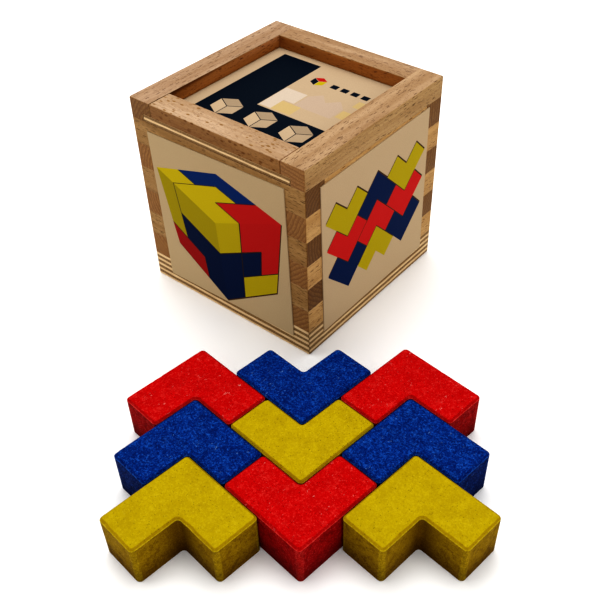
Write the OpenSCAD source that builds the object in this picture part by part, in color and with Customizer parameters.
// Packing cube puzzle: nine L-shaped stones laid out in front of their wooden box.
// The box has finger-jointed walls on a plywood base and a lid that slides out forwards.
// Origin: centre of the underside of the box. +Z up, the lid slides out along -Y.

/* [Box] */
// Outside width and depth of the box
box_w = 120; // [114:1:140]
// Outside height of the box
box_h = 120; // [114:1:150]
// Thickness of the four walls, and width of the rails above them
wall_t = 15; // [12:0.5:17]
// Thickness of the plywood base
base_t = 17; // [9:1:20]
// Fingers up each upright corner
finger_count = 6; // [4:2:12]

/* [Top rails] */
// Height of the rails that frame the lid
rail_h = 12; // [10:0.5:16]
// How far the rails reach over the edge of the lid panel
lip_w = 6; // [3:0.5:8]

/* [Lid] */
// Thickness of the plywood lid panel
panel_t = 4; // [3:0.5:6]
// Sliding clearance at each side of the lid panel and its front rail
side_gap = 0.3; // [0.2:0.1:0.6]
// Sliding clearance above and below the lid panel
face_gap = 0.2; // [0.1:0.1:0.4]

/* [Labels] */
// Side of the square labels on the front and right walls
label_side = 96; // [60:1:98]
// Thickness of the wall labels
label_t = 0.6; // [0.3:0.1:1.5]
// Height of the middle of the front label
front_label_z = 56; // [52:1:58]
// Lean of the front label, which is stuck on by hand
front_label_turn = 1.4; // [-3:0.1:3]
// Height of the middle of the right label
right_label_z = 58; // [52:1:58]
// Lean of the right label
right_label_turn = 0.9; // [-3:0.1:3]
// Thickness of the lid label
lid_label_t = 0.4; // [0.2:0.1:1]

/* [Stones] */
// Side of one cube unit, three of which make a stone
unit = 25; // [20:1:27]
// Space between neighbouring stones
stone_gap = 0.3; // [0.1:0.1:1]
// Chamfer along the upper edges
stone_chamfer = 1.2; // [0.5:0.1:2]
// Chamfer along the edges of the underside
foot_chamfer = 0.3; // [0.1:0.1:2]
// Radius of the upright outer corners
corner_r = 2.2; // [1:0.1:4]
// Radius of the upright inner corner
inner_r = 2; // [1:0.1:4]

/* [Layout] */
// Sideways distance from the box to the middle of the layout
layout_x = 103; // [100:1:150]
// Distance from the box to the middle of the layout, towards the front
layout_y = -118; // [-160:1:-115]
// Turn of the layout against the box
layout_turn = -6.8; // [-10:0.1:0]

/* [Hidden] */
$fn = 48;

// Overshoot of a cutting solid past the face that it opens
cut = 1;

inside_w = box_w - 2 * wall_t;
wall_top = box_h - rail_h;
wall_mid = (box_w - wall_t) / 2;
finger_h = (wall_top - base_t) / finger_count;

// Half width of the channel that the lid panel runs in, and the height of its roof
channel_half = inside_w / 2 + lip_w;
channel_h = panel_t + 2 * face_gap;
panel_z = wall_top + face_gap;
panel_top = panel_z + panel_t;
panel_half = channel_half - side_gap;
front_y = -box_w / 2;

stone_w = unit - stone_gap;
stone_h = unit;
LEFT = 0;
MIDDLE = 1;
RIGHT = 2;
// Corner cell of the back stone in each column, counted along the two rows of the layout
COLUMN_START = [[-2, -2], [0, -3], [1, -5]];
// Turn that points the two arms of a column's stones forwards or back
COLUMN_TURN = [-90, 90, -90];

BEECH = "burlywood";
BIRCH_PLY = "tan";
PRINTED_CARD = "wheat";
BLUE = "mediumblue";
YELLOW = "gold";
RED = "crimson";

// ---- Box ----

// Right edge of a wall's outline from bottom to top, with slots at every other finger
function finger_edge(first_slot) = [
  for (i = [finger_count - 1 : -1 : 0], level = [i + 1, i])
    [box_w / 2 - (i % 2 == first_slot ? wall_t : 0), wall_top - level * finger_h]
];

function mirrored(edge) = [for (k = [len(edge) - 1 : -1 : 0]) [-edge[k][0], edge[k][1]]];

// Wall that runs along X, centred on its thickness; fingers are counted from the top
module fingered_wall(first_slot) {
  edge = finger_edge(first_slot);
  rotate([90, 0, 0])
    linear_extrude(wall_t, center = true)
      polygon(concat(edge, mirrored(edge)));
}

module base_plate() {
  color(BIRCH_PLY)
    translate([-box_w / 2, -box_w / 2, 0])
      cube([box_w, box_w, base_t]);
}

module front_wall() {
  color(BEECH) translate([0, -wall_mid, 0]) fingered_wall(1);
}

module back_wall() {
  color(BEECH) translate([0, wall_mid, 0]) fingered_wall(1);
}

module left_wall() {
  color(BEECH) translate([-wall_mid, 0, 0]) rotate(90) fingered_wall(0);
}

module right_wall() {
  color(BEECH) translate([wall_mid, 0, 0]) rotate(90) fingered_wall(0);
}

// Channel cut into the rails, which the lid panel slides in
module lid_channel() {
  translate([-channel_half, front_y - cut, wall_top - cut])
    cube([2 * channel_half, channel_half - front_y + cut, channel_h + cut]);
}

// Rail on top of a side wall, from the front face to the back face; side is -1 or 1
module side_rail(side) {
  difference() {
    translate([side * wall_mid - wall_t / 2, front_y, wall_top])
      cube([wall_t, box_w, rail_h]);
    lid_channel();
  }
}

module left_top_rail() {
  color(BEECH) side_rail(-1);
}

module right_top_rail() {
  color(BEECH) side_rail(1);
}

module back_top_rail() {
  color(BEECH)
    difference() {
      translate([-inside_w / 2, inside_w / 2, wall_top])
        cube([inside_w, wall_t, rail_h]);
      lid_channel();
    }
}

module front_label() {
  color(PRINTED_CARD)
    translate([0, front_y - label_t / 2, front_label_z])
      rotate([0, -front_label_turn, 0])
        cube([label_side, label_t, label_side], center = true);
}

module right_label() {
  color(PRINTED_CARD)
    translate([box_w / 2 + label_t / 2, 0, right_label_z])
      rotate([right_label_turn, 0, 0])
        cube([label_t, label_side, label_side], center = true);
}

// ---- Sliding lid ----

module lid_panel() {
  color(BIRCH_PLY)
    translate([-panel_half, front_y, panel_z])
      cube([2 * panel_half, panel_half - front_y, panel_t]);
}

module lid_front_rail() {
  rail_half = inside_w / 2 - side_gap;
  color(BEECH)
    translate([-rail_half, front_y, panel_top])
      cube([2 * rail_half, wall_t, box_h - panel_top]);
}

// Printed card that covers the recess between the rails
module lid_label() {
  label_half = inside_w / 2 - 2 * side_gap;
  color(PRINTED_CARD)
    translate([-label_half, -inside_w / 2, panel_top])
      cube([2 * label_half, inside_w / 2 + label_half, lid_label_t]);
}

// ---- Stones ----

// Cross-section of an arm with its four long edges chamfered, centred
module chamfered_section(width) {
  w = width / 2;
  h = stone_h / 2;
  c = stone_chamfer;
  f = foot_chamfer;
  polygon([[w - f, -h], [w, f - h], [w, h - c], [w - c, h],
           [c - w, h], [-w, h - c], [-w, f - h], [f - w, -h]]);
}

// Outline of an arm seen from above, with round corners, centred
module rounded_outline(length, width) {
  square([length, width - 2 * corner_r], center = true);
  square([length - 2 * corner_r, width], center = true);
  for (x = [-1, 1], y = [-1, 1])
    translate([x * (length / 2 - corner_r), y * (width / 2 - corner_r)])
      circle(corner_r);
}

// Two units in line along X, on the floor, with the first one centred on the origin
module arm() {
  length = unit + stone_w;
  translate([unit / 2, 0, stone_h / 2])
    intersection() {
      linear_extrude(stone_h, center = true) rounded_outline(length, stone_w);
      rotate([90, 0, 0]) linear_extrude(stone_w, center = true)
        chamfered_section(length);
      rotate([90, 0, 90]) linear_extrude(length, center = true)
        chamfered_section(stone_w);
    }
}

// Filling that rounds the upright inner corner between the two arms
module inner_fillet() {
  translate([stone_w / 2, stone_w / 2, foot_chamfer])
    linear_extrude(stone_h - foot_chamfer - stone_chamfer)
      difference() {
        translate([-stone_chamfer, -stone_chamfer]) square(inner_r + stone_chamfer);
        translate([inner_r, inner_r]) circle(inner_r);
      }
}

// Corner unit at the origin, arms along +X and +Y
module l_stone() {
  union() {
    arm();
    mirror([1, -1, 0]) arm();
    inner_fillet();
  }
}

// A stone in its place: each row steps one unit along both rows of the layout
module placed_stone(column, row) {
  cell = COLUMN_START[column] + [row, row];
  translate([layout_x, layout_y, 0]) rotate(layout_turn)
    translate([(cell[0] - 0.5) * unit, -(cell[1] + 2.5) * unit, 0])
      rotate(COLUMN_TURN[column]) l_stone();
}

module red_stone_left() {
  color(RED) placed_stone(LEFT, 0);
}

module blue_stone_left() {
  color(BLUE) placed_stone(LEFT, 1);
}

module yellow_stone_left() {
  color(YELLOW) placed_stone(LEFT, 2);
}

module blue_stone_middle() {
  color(BLUE) placed_stone(MIDDLE, 0);
}

module yellow_stone_middle() {
  color(YELLOW) placed_stone(MIDDLE, 1);
}

module red_stone_middle() {
  color(RED) placed_stone(MIDDLE, 2);
}

module red_stone_right() {
  color(RED) placed_stone(RIGHT, 0);
}

module blue_stone_right() {
  color(BLUE) placed_stone(RIGHT, 1);
}

module yellow_stone_right() {
  color(YELLOW) placed_stone(RIGHT, 2);
}

base_plate();
front_wall();
back_wall();
left_wall();
right_wall();
left_top_rail();
right_top_rail();
back_top_rail();
front_label();
right_label();
lid_panel();
lid_front_rail();
lid_label();
red_stone_left();
blue_stone_left();
yellow_stone_left();
blue_stone_middle();
yellow_stone_middle();
red_stone_middle();
red_stone_right();
blue_stone_right();
yellow_stone_right();
